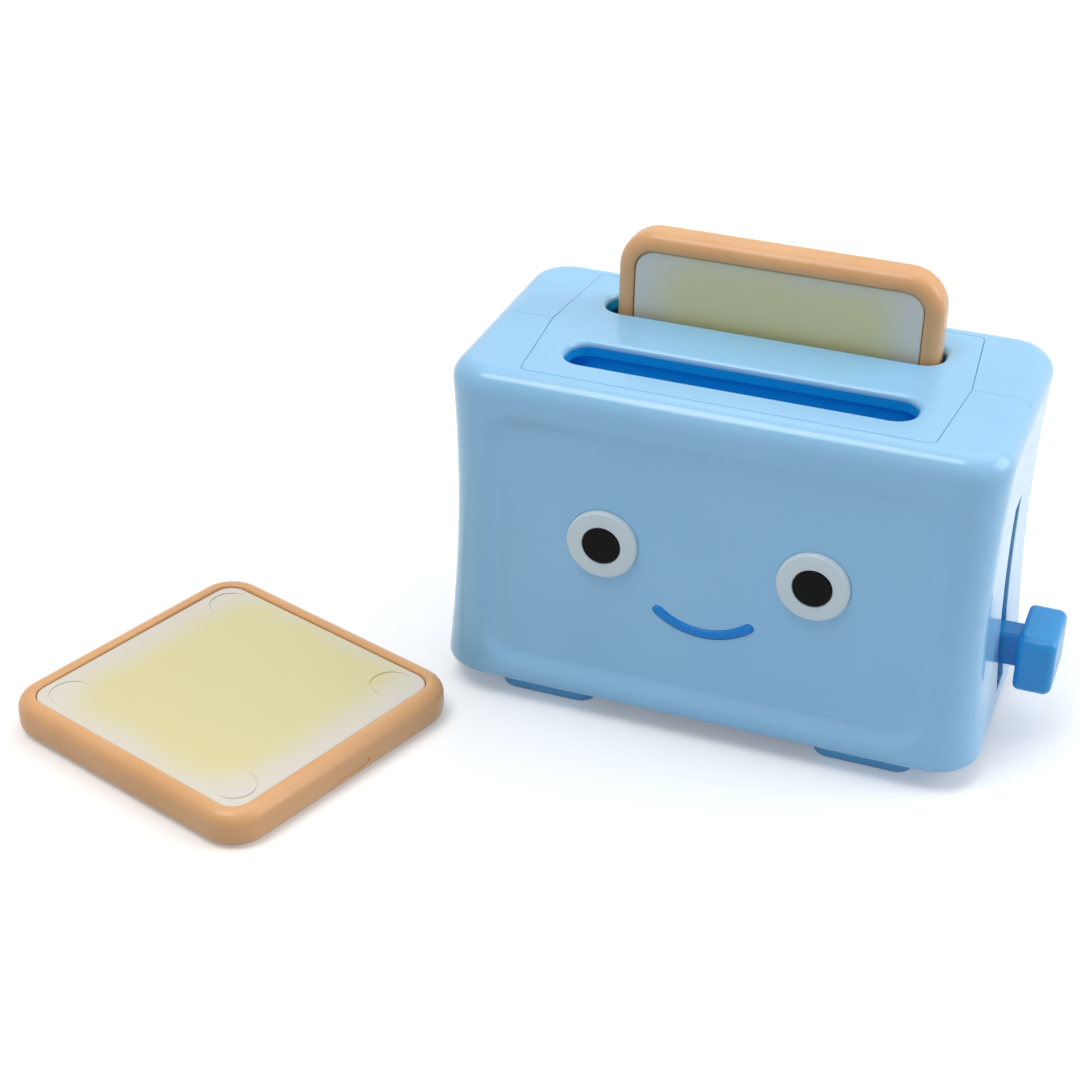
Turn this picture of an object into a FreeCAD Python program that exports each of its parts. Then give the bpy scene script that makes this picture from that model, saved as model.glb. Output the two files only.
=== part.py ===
import FreeCAD, Part
import math
import os

# Toy toaster with two slices of toast.
# Millimetres.  +Z is up, the floor is Z = 0, the face looks along -Y and the
# lever stands out along +X.  The origin is on the floor under the middle of the
# body.  The two half-shells meet in the plane Y = 0.

Vector = FreeCAD.Vector
along_x = Vector(1, 0, 0)
along_y = Vector(0, 1, 0)
along_z = Vector(0, 0, 1)
origin = Vector(0, 0, 0)

# ---------------------------------------------------------------- body shape
body_top = 46.2              # top face of the body
body_bottom = 2.9            # lower edge of the shells, clear of the floor
waist_height = 26.0          # height where all four sides are narrowest
waist_half_width = 34.1
waist_half_depth = 17.85
flare_top = 0.85             # how far the sides spread again at the top
flare_bottom = 1.25          # and at the bottom
body_corner = 5.0            # radius of the upright corners at the waist
top_round = 3.0              # radius along the top edge
bottom_bevel = 1.1           # bevel along the lower edge
wall = 1.8                   # moulded wall of the shells
seam = 0.06                  # half of the hairline gap between mouldings
lip_thick = 0.8              # lip inside the lower edge that the base lies on
lip_width = 0.6

# ----------------------------------------------------------- shallow front panel
panel_floor_y = 17.35        # depth of the flat floor, from Y = 0
panel_half_width = 27.4
panel_low = 8.3
panel_high = 38.3
panel_corner = 3.2
panel_reach = 1.9            # depth of its cutter, a little more than the panel's own
panel_slope = 2.6            # how far its sides lean out over that depth

# ------------------------------------------------------------------ top insert
insert_end = 25.5            # half length along the front and rear edges
insert_kink = 26.8           # half length on the parting line
insert_half_depth = 15.25
insert_corner = 0.9
insert_thick = 2.0
insert_edge = 0.15
ledge_width = 1.2            # ledge in the shells that carries the insert
ledge_thick = 1.5
slot_y = 7.95                # centre line of each bread slot
slot_half_length = 22.0
slot_half_width = 3.2
slot_corner = 2.75
slot_lip = 0.7               # rounded lip of the slots

# ----------------------------------------------------------------- bread wells
well_wall = 0.8
well_half_length = 22.3      # inside
well_half_width = 3.5        # inside
well_corner = 1.2
well_flange = 1.0
well_arm_x = 13.0            # openings for the carriage's arms
well_arm_opening = 4.2
well_arm_top = 35.4

# ------------------------------------------------------------- base and feet
base_thick = 1.8
base_play = 0.1
well_rib_half_length = 20.0  # ribs of the base that the wells stand between
well_rib_height = 1.2
rib_thick = 0.8
seat_rib_half_length = 3.4   # ribs that brace the rod seats
seat_rib_height = 1.6
foot_x = 21.0
foot_y = 12.4
foot_half_length = 6.4
foot_half_width = 2.9
foot_corner = 2.2
foot_peg_half = 1.4          # half side of the square peg through the base

# --------------------------------------------------------- guide rods, carriage
rod_x = 29.5
rod_radius = 1.0
rod_play = 0.06              # running clearance of the carriage on a rod
rod_seat_play = 0.02
rod_seat_half = 1.7          # half side of the square seats on the base
rod_socket_radius = 1.8      # round sockets under the top
rod_socket_low = 38.7        # lower end of the sockets under the top
bush_half = 2.1              # half side of the square bushes
bush_high = 17.7
bush_gap = 0.4               # between a bush and the fork beside it
stop_height = 9.7            # top of the seats that stop the carriage
stop_gap = 0.05
spine_half_width = 1.6
spine_low = 13.6
spine_high = 16.4
tray_top = 16.9
tray_thick = 1.5
tray_half_length = 20.5
tray_half_width = 2.8
arm_width = 3.2              # arms from the spine to the trays
arm_drop = 0.4               # arms lie this much lower than the spine's top
arm_reach = 1.7              # how far an arm runs in under its tray
cheek_half_width = 2.4       # fork at the spine's end that holds the lever
cheek_length = 6.0
tongue_width = 2.2
joint_play = 0.05
pin_radius = 0.8
pin_play = 0.02

# ------------------------------------------------------------------ side lever
lever_slot_half_width = 2.1
lever_slot_low = 5.9
lever_slot_high = 32.2
lever_slot_reach = 4.0       # how far its cutter reaches to both sides of the wall
stem_width = 3.5
stem_high = 14.4
stem_end = 39.6
stem_edge = 0.3
knob_inner_x = 37.0
knob_outer_x = 41.8
knob_half_width = 5.0
knob_low = 8.0
knob_high = 16.0
knob_corner = 1.6
knob_edge = 1.1
knob_play = 0.02

# ---------------------------------------------------------------- case screws
screw_places = ((-25.2, 10.9), (25.2, 36.3))  # X and Z: low on the left, high on the right
boss_radius = 1.9
boss_head_radius = 2.7
boss_head_y = 12.9           # where the wider part round the screw head starts
screw_radius = 1.0
screw_tip_y = -9.0
screw_seat_y = 13.6
screw_head_radius = 1.7
screw_head_thick = 1.4
screw_head_play = 0.15
screw_hole_radius = 1.15
pilot_radius = 1.03
pilot_spare = 0.4            # pilot holes are this much deeper than the screws
cross_half_length = 1.1      # recess for the driver
cross_half_width = 0.28
cross_depth = 0.8

# ------------------------------------------------------------------------ face
eye_x = 13.4
eye_z = 25.4
eye_radius = 4.6
eye_edge = 0.35
pupil_radius = 2.45
pupil_seat_depth = 0.4
pupil_seat_play = 0.04
pupil_proud = 0.12
eye_pocket = 0.5             # depth of the seats in the front panel
eye_proud = 0.75
smile_radius = 9.5           # radius of the smile's centre line
smile_z = 25.0               # height of that arc's centre
smile_half_angle = 38.0
smile_width = 1.25
smile_proud = 0.45

# ---------------------------------------------------------------------- slices
slice_width = 41.8
slice_height = 40.2
slice_thick = 5.0
slice_corner = 5.0
slice_edge = 1.7             # rounding of the crust
crust_rim = 2.3
crust_proud = 0.3            # rim above the faces
slice_web = 1.0
face_corner = 2.7
face_play = 0.11
peg_inset = 4.0              # places of the pegs, in from the edge of a face
peg_half = 1.3               # half side of the square pegs
peg_play = 0.03
peg_gap = 0.02               # between the pegs of both faces, inside the web
standing_x = 0.6
loose_x = -56.1
loose_y = -36.2
loose_turn = -18.5

# ---------------------------------------------------- allowances of the modeller
bands = 2                    # narrow bands that make up a rounded edge
crown_bands = 3              # and the body's larger top edge
overlap = 0.5                # how far pieces that are fused run into each other
beyond = 1.0                 # how far a cutter runs past what it cuts
far = 100.0                  # larger than the whole toy
near = 1e-3

# ------------------------------------------------------------- derived places
inner_top = body_top - insert_thick
ledge_low = inner_top - ledge_thick
base_low = body_bottom + lip_thick
base_high = base_low + base_thick
carriage_low = stop_height + stop_gap
fork_end = rod_x - bush_half - bush_gap
fork_start = fork_end - cheek_length
pin_x = (fork_start + fork_end) / 2
pin_z = (spine_low + spine_high) / 2
eye_back = eye_pocket - panel_floor_y
eye_front = -panel_floor_y - eye_proud


# ----------------------------------------------------------------- small tools
def rounded_outline(corners, radius):
    """Closed wire in the XY plane through corners, with each corner rounded."""
    points = [Vector(x, y, 0) for x, y in corners]
    ends, arcs = [], []
    for index, point in enumerate(points):
        to_last = (points[index - 1] - point).normalize()
        to_next = (points[(index + 1) % len(points)] - point).normalize()
        half_angle = to_last.getAngle(to_next) / 2
        reach = radius / math.tan(half_angle)
        bisector = (to_last + to_next).normalize()
        middle = point + bisector * (radius / math.sin(half_angle) - radius)
        ends.append((point + to_last * reach, point + to_next * reach))
        arcs.append(Part.Arc(ends[-1][0], middle, ends[-1][1]).toShape())
    edges = []
    for index, arc in enumerate(arcs):
        edges.append(arc)
        edges.append(Part.makeLine(ends[index][1], ends[(index + 1) % len(arcs)][0]))
    return Part.Wire(edges)


def rectangle(half_x, half_y, radius):
    corners = [(half_x, half_y), (-half_x, half_y), (-half_x, -half_y), (half_x, -half_y)]
    return rounded_outline(corners, radius)


def lifted(wire, height):
    copy = wire.copy()
    copy.translate(Vector(0, 0, height))
    return copy


def prism(wire, low, high):
    """Upright solid over a wire that lies in the XY plane."""
    return Part.Face(lifted(wire, low)).extrude(Vector(0, 0, high - low))


def soft_prism(outline, low, high, low_round, high_round):
    """Upright solid over outline(shrink), with its lower and upper edge rounded."""
    sections = []
    for level, radius, up in ((low, low_round, 1), (high, high_round, -1)):
        steps = range(bands + 1) if radius else (bands,)
        rounding = []
        for step in steps:
            angle = math.pi / 2 * step / bands
            height = level + up * radius * (1 - math.cos(angle))
            rounding.append(lifted(outline(radius * (1 - math.sin(angle))), height))
        sections += rounding if up > 0 else rounding[::-1]
    return Part.makeLoft(sections, True, True)


def box(low, high):
    size = [top - bottom for bottom, top in zip(low, high)]
    return Part.makeBox(*size, Vector(*low))


def cylinder(radius, start, end):
    axis = Vector(*end) - Vector(*start)
    return Part.makeCylinder(radius, axis.Length, Vector(*start), axis)


def fuse(shapes):
    return shapes[0].multiFuse(shapes[1:]).removeSplitter()


def spun(shape, axis, degrees):
    copy = shape.copy()
    copy.rotate(origin, axis, degrees)
    return copy


def mirrored(shape, normal):
    return shape.mirror(origin, normal)


def save(name, shape):
    shape.exportStep("parts/" + name + ".step")


# ------------------------------------------------------------------ the shells
def flare(height):
    """How far the sides stand out from the waist at a height, on one large arc."""
    arc = Part.Arc(Vector(flare_bottom, 0, body_bottom), Vector(0, 0, waist_height),
                   Vector(flare_top, 0, body_top))
    circle = arc.toShape().Curve
    return circle.Center.x - math.sqrt(circle.Radius ** 2 - (height - circle.Center.z) ** 2)


def side_face(half_size):
    """Half section of the body in the XZ plane, from the middle to one side."""
    def on_side(height, inset=0):
        return Vector(half_size + flare(height) - inset, 0, height)

    side_low, side_high = body_bottom + bottom_bevel, body_top - top_round
    side = Part.Arc(on_side(side_low), on_side(waist_height), on_side(side_high)).toShape()
    outline = [on_side(side_high)]
    for step in range(1, crown_bands + 1):
        angle = math.pi / 2 * step / crown_bands
        outline.append(on_side(side_high + top_round * math.sin(angle), top_round * (1 - math.cos(angle))))
    outline += [Vector(0, 0, body_top), Vector(0, 0, body_bottom)]
    outline += [on_side(body_bottom, bottom_bevel), on_side(side_low)]
    return Part.Face(Part.Wire([side] + Part.makePolygon(outline).Edges))


def body_form():
    """Outer form: one side outline carried round a rectangle with round corners."""
    corner_x, corner_y = waist_half_width - body_corner, waist_half_depth - body_corner
    right = side_face(waist_half_width).extrude(Vector(0, corner_y, 0))
    rear = spun(side_face(waist_half_depth), along_z, 90).extrude(Vector(corner_x, 0, 0))
    corner = side_face(body_corner).revolve(origin, along_z, 90)
    corner.translate(Vector(corner_x, corner_y, 0))
    quarter = fuse([right, rear, corner])
    half = fuse([quarter, mirrored(quarter, along_x)])
    return fuse([half, mirrored(half, along_y)])


def side_panel():
    """Cutter for the shallow panel on the front: a flat floor between sloping sides."""
    half_height = (panel_high - panel_low) / 2
    floor = rectangle(panel_half_width, half_height, panel_corner)
    mouth = rectangle(panel_half_width + panel_slope, half_height + panel_slope, panel_corner + panel_slope)
    panel = spun(Part.makeLoft([floor, lifted(mouth, panel_reach)], True, True), along_x, 90)
    panel.translate(Vector(0, -panel_floor_y, panel_low + half_height))
    return panel


def insert_outline(shrink):
    """Long hexagon of the top insert, with its kinks on the parting line."""
    end, kink, depth = insert_end - shrink, insert_kink - shrink, insert_half_depth - shrink
    corners = [(kink, 0), (end, depth), (-end, depth), (-kink, 0), (-end, -depth), (end, -depth)]
    return rounded_outline(corners, insert_corner)


def make_body():
    """Both half-shells as one hollow moulding, before it is parted."""
    hollow = prism(rectangle(waist_half_width - wall, waist_half_depth - wall, body_corner - wall),
                   base_low, inner_top)
    lip = wall + lip_width
    mouth = rectangle(waist_half_width - lip, waist_half_depth - lip, body_corner - lip)
    body = body_form().cut([side_panel(), hollow, prism(mouth, 0, waist_height)])
    ledge = prism(insert_outline(-ledge_width), ledge_low, inner_top + overlap)
    ledge = ledge.cut(prism(insert_outline(ledge_width), ledge_low - beyond, body_top))
    additions = [ledge]
    cuts = [prism(insert_outline(0), inner_top, body_top + beyond)]
    for side in (-1, 1):
        x = side * rod_x
        additions.append(cylinder(rod_socket_radius, (x, 0, rod_socket_low), (x, 0, inner_top + overlap)))
        cuts.append(cylinder(rod_radius + rod_seat_play, (x, 0, rod_socket_low - beyond), (x, 0, ledge_low)))
    front, rear = -panel_floor_y + overlap, waist_half_depth - overlap
    for x, z in screw_places:
        additions.append(cylinder(boss_radius, (x, front, z), (x, boss_head_y + overlap, z)))
        additions.append(cylinder(boss_head_radius, (x, boss_head_y, z), (x, rear, z)))
    cuts.append(box((waist_half_width - lever_slot_reach, -lever_slot_half_width, lever_slot_low),
                    (waist_half_width + lever_slot_reach, lever_slot_half_width, lever_slot_high)))
    return fuse([body] + additions).cut(cuts)


def face_seats():
    """Cutters for the seats of the eyes and the smile in the front panel."""
    front = -panel_floor_y - beyond
    seats = [smile_bar(smile_width / 2 + seam, front, eye_back)]
    for side in (-1, 1):
        seats.append(cylinder(eye_radius + seam, (side * eye_x, front, eye_z), (side * eye_x, eye_back, eye_z)))
    return seats


def make_front_shell(body):
    half = body.common(box((-far, -far, -far), (far, -seam, far)))
    pilots = [cylinder(pilot_radius, (x, screw_tip_y - pilot_spare, z), (x, beyond, z)) for x, z in screw_places]
    return half.cut(pilots + face_seats())


def make_rear_shell(body):
    half = body.common(box((-far, seam, -far), (far, far, far)))
    outside = waist_half_depth + beyond
    holes = [cylinder(screw_hole_radius, (x, -beyond, z), (x, outside, z)) for x, z in screw_places]
    seats = [cylinder(screw_head_radius + screw_head_play, (x, screw_seat_y, z), (x, outside, z))
             for x, z in screw_places]
    return half.cut(holes + seats)


# ------------------------------------------------------------------ top insert
def slot_cutter():
    """Bread slot that opens upwards in a rounded lip."""
    def at(grow, height):
        wire = rectangle(slot_half_length + grow, slot_half_width + grow, slot_corner + grow)
        return lifted(wire, height)

    sections = [at(0, inner_top - beyond)]
    for step in range(bands + 1):
        angle = math.pi / 2 * step / bands
        sections.append(at(slot_lip * (1 - math.cos(angle)), body_top - slot_lip * (1 - math.sin(angle))))
    sections.append(at(slot_lip, body_top + beyond))
    return Part.makeLoft(sections, True, True)


def make_top_insert():
    plate = prism(insert_outline(2 * seam), inner_top, body_top)
    rim = [edge for edge in plate.Edges if edge.BoundBox.ZMin > body_top - near]
    plate = plate.makeChamfer(insert_edge, rim)
    cutters = []
    for side in (-1, 1):
        cutter = slot_cutter()
        cutter.translate(Vector(0, side * slot_y, 0))
        cutters.append(cutter)
    return plate.cut(cutters)


def make_well():
    """Rear bread well: a tube under its slot, open to the arms of the carriage."""
    outer = rectangle(well_half_length + well_wall, well_half_width + well_wall, well_corner)
    flange = rectangle(well_half_length + well_wall, well_half_width + 2 * well_wall, well_corner)
    tube = fuse([prism(outer, base_high, inner_top), prism(flange, inner_top - well_flange, inner_top)])
    cuts = [box((-well_half_length, -well_half_width, base_high - beyond),
                (well_half_length, well_half_width, inner_top + beyond))]
    for side in (-1, 1):
        middle = side * well_arm_x
        cuts.append(box((middle - well_arm_opening / 2, -well_half_width - 2 * well_wall, base_high - beyond),
                        (middle + well_arm_opening / 2, 0, well_arm_top)))
    tube = tube.cut(cuts)
    tube.translate(Vector(0, slot_y, 0))
    return tube


# --------------------------------------------------------------- base and feet
def foot_places():
    return {"front_left": (-foot_x, -foot_y), "front_right": (foot_x, -foot_y),
            "rear_left": (-foot_x, foot_y), "rear_right": (foot_x, foot_y)}


def make_base():
    """Plate on the shells' lip, with the rod seats, their ribs and the wells' ribs."""
    inset = wall + base_play
    outline = rectangle(waist_half_width - inset, waist_half_depth - inset, body_corner - inset)
    pieces = [prism(outline, base_low, base_high)]
    cuts = []
    root = base_high - overlap
    rib_y = slot_y - well_half_width - well_wall - base_play
    for side in (-1, 1):
        x = side * rod_x
        pieces.append(box((x - rod_seat_half, -rod_seat_half, root), (x + rod_seat_half, rod_seat_half, stop_height)))
        pieces.append(box((x - rib_thick / 2, -seat_rib_half_length, root),
                          (x + rib_thick / 2, seat_rib_half_length, base_high + seat_rib_height)))
        cuts.append(cylinder(rod_radius + rod_seat_play, (x, 0, base_high), (x, 0, stop_height + beyond)))
        inner_y, outer_y = sorted((side * (rib_y - rib_thick), side * rib_y))
        pieces.append(box((-well_rib_half_length, inner_y, root),
                          (well_rib_half_length, outer_y, base_high + well_rib_height)))
    half = foot_peg_half + peg_play
    for x, y in foot_places().values():
        cuts.append(box((x - half, y - half, base_low - beyond), (x + half, y + half, base_high + beyond)))
    return fuse(pieces).cut(cuts)


def make_foot(x, y):
    """Low pad with round corners and a square peg through the base."""
    pad = prism(rectangle(foot_half_length, foot_half_width, foot_corner), 0, base_low)
    peg = box((-foot_peg_half, -foot_peg_half, base_low - overlap), (foot_peg_half, foot_peg_half, base_high))
    foot = fuse([pad, peg])
    foot.translate(Vector(x, y, 0))
    return foot


def make_rod(side):
    x = side * rod_x
    return cylinder(rod_radius, (x, 0, base_high), (x, 0, ledge_low - stop_gap))


# ------------------------------------------------------------ case screw group
def make_case_screws():
    """Two screws with cheese heads and a cross recess."""
    head_y = screw_seat_y + screw_head_thick
    screws = []
    for x, z in screw_places:
        shank = cylinder(screw_radius, (x, screw_tip_y, z), (x, screw_seat_y, z))
        head = cylinder(screw_head_radius, (x, screw_seat_y, z), (x, head_y, z))
        long, short, floor_y = cross_half_length, cross_half_width, head_y - cross_depth
        cross = [box((x - long, floor_y, z - short), (x + long, head_y + beyond, z + short)),
                 box((x - short, floor_y, z - long), (x + short, head_y + beyond, z + long))]
        screws.append(fuse([shank, head]).cut(cross))
    return Part.makeCompound(screws)


# -------------------------------------------------------- carriage and lever
def pin_hole():
    return cylinder(pin_radius + pin_play, (pin_x, -far, pin_z), (pin_x, far, pin_z))


def bush(side):
    x = side * rod_x
    return box((x - bush_half, -bush_half, carriage_low), (x + bush_half, bush_half, bush_high))


def rod_hole(side):
    x = side * rod_x
    return cylinder(rod_radius + rod_play, (x, 0, 0), (x, 0, bush_high + beyond))


def make_carriage():
    """Spine on the parting plane, with two bread trays on arms, a bush and a fork."""
    pieces = [
        box((-rod_x, -spine_half_width, spine_low), (fork_start, spine_half_width, spine_high)),
        box((fork_start - overlap, -cheek_half_width, spine_low), (fork_end, cheek_half_width, spine_high)),
        bush(-1),
    ]
    for side in (-1, 1):
        middle_y = side * slot_y
        pieces.append(box((-tray_half_length, middle_y - tray_half_width, tray_top - tray_thick),
                          (tray_half_length, middle_y + tray_half_width, tray_top)))
        low_y, high_y = sorted((0, middle_y + side * arm_reach))
        for middle in (-well_arm_x, well_arm_x):
            pieces.append(box((middle - arm_width / 2, low_y, spine_low),
                              (middle + arm_width / 2, high_y, spine_high - arm_drop)))
    gap = tongue_width / 2 + joint_play
    fork = box((fork_start, -gap, 0), (fork_end + beyond, gap, bush_high))
    return fuse(pieces).cut([rod_hole(-1), fork, pin_hole()])


def make_lever_pin():
    return cylinder(pin_radius, (pin_x, -cheek_half_width, pin_z), (pin_x, cheek_half_width, pin_z))


def make_lever_arm():
    """Stem through the side, with its own bush and a tongue into the carriage."""
    stem = box((rod_x, -stem_width / 2, carriage_low), (stem_end, stem_width / 2, stem_high))
    stem = stem.makeChamfer(stem_edge, [edge for edge in stem.Edges if edge.BoundBox.XLength > beyond])
    tongue = box((fork_start + 2 * joint_play, -tongue_width / 2, spine_low),
                 (rod_x, tongue_width / 2, spine_high))
    return fuse([stem, bush(1), tongue]).cut([rod_hole(1), pin_hole()])


def make_lever_knob():
    """Soft-edged block with a socket that the stem is pressed into."""
    half_height = (knob_high - knob_low) / 2

    def outline(shrink):
        return rectangle(half_height - shrink, knob_half_width - shrink, knob_corner - shrink)

    knob = spun(soft_prism(outline, knob_inner_x, knob_outer_x, 0, knob_edge), along_y, 90)
    knob.translate(Vector(0, 0, knob_low + half_height))
    socket = box((knob_inner_x - beyond, -stem_width / 2 - knob_play, carriage_low - knob_play),
                 (stem_end + knob_play, stem_width / 2 + knob_play, stem_high + knob_play))
    return knob.cut(socket)


# ------------------------------------------------------------------------ face
def front_rim(shape):
    """Edges of shape that lie in its foremost plane."""
    front = shape.BoundBox.YMin
    return [edge for edge in shape.Edges if edge.BoundBox.YMax < front + near]


def make_eye_white(side):
    """Raised disc with a softened rim and a seat for its pupil."""
    x = side * eye_x
    disc = cylinder(eye_radius, (x, eye_back, eye_z), (x, eye_front, eye_z))
    disc = disc.makeChamfer(eye_edge, front_rim(disc))
    seat = cylinder(pupil_radius + pupil_seat_play, (x, eye_front + pupil_seat_depth, eye_z),
                    (x, eye_front - beyond, eye_z))
    return disc.cut(seat)


def make_pupil(side):
    x = side * eye_x
    return cylinder(pupil_radius, (x, eye_front + pupil_seat_depth, eye_z), (x, eye_front - pupil_proud, eye_z))


def smile_bar(half_width, front, back):
    """Bar with round ends along an arc that opens upwards."""
    def on_arc(radius, degrees):
        angle = math.radians(degrees)
        return Vector(radius * math.sin(angle), front, smile_z - radius * math.cos(angle))

    inner, outer, turn = smile_radius - half_width, smile_radius + half_width, smile_half_angle
    tip = math.degrees(half_width / smile_radius)
    edges = [
        Part.Arc(on_arc(outer, -turn), on_arc(outer, 0), on_arc(outer, turn)).toShape(),
        Part.Arc(on_arc(outer, turn), on_arc(smile_radius, turn + tip), on_arc(inner, turn)).toShape(),
        Part.Arc(on_arc(inner, turn), on_arc(inner, 0), on_arc(inner, -turn)).toShape(),
        Part.Arc(on_arc(inner, -turn), on_arc(smile_radius, -turn - tip), on_arc(outer, -turn)).toShape(),
    ]
    return Part.Face(Part.Wire(edges)).extrude(Vector(0, back - front, 0))


def make_smile():
    return smile_bar(smile_width / 2, -panel_floor_y - smile_proud, eye_back)


# ---------------------------------------------------------------------- slices
def pegs(half, low, high):
    """Four square pegs near the corners of a slice."""
    x = slice_width / 2 - crust_rim - peg_inset
    y = slice_height / 2 - crust_rim - peg_inset
    return [box((px - half, py - half, low), (px + half, py + half, high)) for px in (-x, x) for py in (-y, y)]


def make_crust():
    """Crust lying flat round its centre: a rounded frame with a thin web."""
    def outline(shrink):
        return rectangle(slice_width / 2 - shrink, slice_height / 2 - shrink, slice_corner - shrink)

    half = slice_thick / 2
    frame = soft_prism(outline, -half, half, slice_edge, slice_edge)
    pocket = rectangle(slice_width / 2 - crust_rim, slice_height / 2 - crust_rim, face_corner)
    cuts = [prism(pocket, slice_web / 2, half + beyond), prism(pocket, -half - beyond, -slice_web / 2)]
    return frame.cut(cuts + pegs(peg_half + peg_play, -beyond, beyond))


def make_face():
    """Upper face of a slice: a plate with four pegs into the crust's web."""
    front = slice_thick / 2 - crust_proud
    inset = crust_rim + face_play
    outline = rectangle(slice_width / 2 - inset, slice_height / 2 - inset, face_corner - face_play)
    plate = prism(outline, slice_web / 2, front)
    return fuse([plate] + pegs(peg_half, peg_gap, slice_web / 2 + overlap))


def stand_up(shape):
    """Place a flat slice on the rear tray, with its upper face to the front."""
    placed = spun(shape, along_x, 90)
    placed.translate(Vector(standing_x, slot_y, tray_top + slice_height / 2))
    return placed


def lay_down(shape):
    """Place a flat slice on the floor beside the front left foot."""
    placed = spun(shape, along_z, loose_turn)
    placed.translate(Vector(loose_x, loose_y, slice_thick / 2))
    return placed


def main():
    os.makedirs("parts", exist_ok=True)
    body = make_body()
    save("front_shell", make_front_shell(body))
    save("rear_shell", make_rear_shell(body))
    save("top_insert", make_top_insert())
    well = make_well()
    save("bread_well_rear", well)
    save("bread_well_front", mirrored(well, along_y))
    save("base_plate", make_base())
    for name, place in foot_places().items():
        save("foot_" + name, make_foot(*place))
    save("case_screws", make_case_screws())
    save("carriage", make_carriage())
    save("lever_arm", make_lever_arm())
    save("lever_pin", make_lever_pin())
    save("lever_knob", make_lever_knob())
    for word, side in (("left", -1), ("right", 1)):
        save("guide_rod_" + word, make_rod(side))
        save("eye_white_" + word, make_eye_white(side))
        save("eye_pupil_" + word, make_pupil(side))
    save("smile", make_smile())
    crust = make_crust()
    upper_face = make_face()
    lower_face = spun(upper_face, along_x, 180)
    for name, place in (("standing", stand_up), ("loose", lay_down)):
        save(name + "_slice_crust", place(crust))
        save(name + "_slice_front", place(upper_face))
        save(name + "_slice_back", place(lower_face))


main()
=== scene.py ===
import math

import bmesh
import bpy
from bpy.props import FloatProperty, FloatVectorProperty, PointerProperty
from mathutils import Matrix, Quaternion, Vector


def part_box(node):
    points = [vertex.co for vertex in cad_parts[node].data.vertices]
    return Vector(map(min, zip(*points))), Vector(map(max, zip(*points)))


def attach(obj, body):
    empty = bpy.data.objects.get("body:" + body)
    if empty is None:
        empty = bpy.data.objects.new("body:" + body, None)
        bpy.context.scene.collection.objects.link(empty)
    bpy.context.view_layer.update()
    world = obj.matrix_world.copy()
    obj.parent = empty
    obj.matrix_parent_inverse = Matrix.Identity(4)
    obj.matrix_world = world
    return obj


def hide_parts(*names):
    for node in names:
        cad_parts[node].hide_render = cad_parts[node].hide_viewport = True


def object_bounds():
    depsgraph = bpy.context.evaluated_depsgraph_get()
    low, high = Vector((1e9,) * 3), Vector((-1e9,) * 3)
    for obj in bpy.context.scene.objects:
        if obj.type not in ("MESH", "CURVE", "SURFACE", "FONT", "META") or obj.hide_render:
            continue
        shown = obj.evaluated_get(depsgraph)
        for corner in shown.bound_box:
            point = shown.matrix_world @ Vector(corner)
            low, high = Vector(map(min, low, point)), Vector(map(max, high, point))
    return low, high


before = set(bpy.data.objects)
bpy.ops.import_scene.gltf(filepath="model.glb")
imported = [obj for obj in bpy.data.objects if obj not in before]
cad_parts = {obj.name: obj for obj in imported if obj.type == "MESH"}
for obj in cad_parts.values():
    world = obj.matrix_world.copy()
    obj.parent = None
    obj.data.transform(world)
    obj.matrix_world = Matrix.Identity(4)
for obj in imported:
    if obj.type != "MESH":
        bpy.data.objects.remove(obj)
cad_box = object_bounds()

bl_info = {
    "name": "Toy Toaster Looks",
    "version": (1, 0, 0),
    "blender": (4, 5, 0),
    "location": "View3D > Sidebar > Toy Toaster",
    "description": "Dresses the moulded toy toaster and its two slices over their packed solids",
    "category": "Object",
}

MM = 0.001
NEAR = 1e-6          # points closer than this are the same point
BEYOND = 1 * MM      # how far a cutter runs past what it cuts
OVERLAP = 0.5 * MM   # how far solids that are fused run into each other
SCORE_STEP = 3.25 * MM  # between level cuts of the shells, clear of the lever slot's ends and the seats
COARSE, MEDIUM, FINE, FINEST = 32, 48, 64, 96  # facets round a circle: more where it shows more
CREASE = math.radians(45)         # edges sharper than this are rounded after a cut
SHARP_SHADING = math.radians(32)  # edges sharper than this are shaded sharp
SENSOR_WIDTH = 36    # of the camera, in millimetres like its lens
X, Y, Z = 0, 1, 2
SIDES = ("left", "right")
FEET = ("front_left", "front_right", "rear_left", "rear_right")
SHELL_FINISH = "Moulded ABS light blue"


# ------------------------------------------------------------------ properties
def linear(hex_code):
    """Linear RGB of an sRGB hex colour."""
    shares = [int(hex_code[place:place + 2], 16) / 255 for place in (1, 3, 5)]
    return tuple(v / 12.92 if v <= 0.04045 else ((v + 0.055) / 1.055) ** 2.4 for v in shares)


def length(name, description, millimetres):
    return FloatProperty(name=name, description=description, default=millimetres * MM, min=0,
                         precision=5, unit="LENGTH")


def turn(name, description, degrees):
    return FloatProperty(name=name, description=description, default=math.radians(degrees),
                         subtype="ANGLE", unit="ROTATION")


def share(name, description, value):
    return FloatProperty(name=name, description=description, default=value, min=0, max=2, subtype="FACTOR")


def power(name, description, watts):
    return FloatProperty(name=name, description=description, default=watts, min=0, unit="POWER")


def place(name, description, metres):
    return FloatVectorProperty(name=name, description=description, default=metres, size=3,
                               subtype="TRANSLATION", unit="LENGTH")


def colour(name, description, hex_code):
    return FloatVectorProperty(name=name, description=description, default=linear(hex_code), size=3,
                               min=0, max=1, subtype="COLOR")


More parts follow.
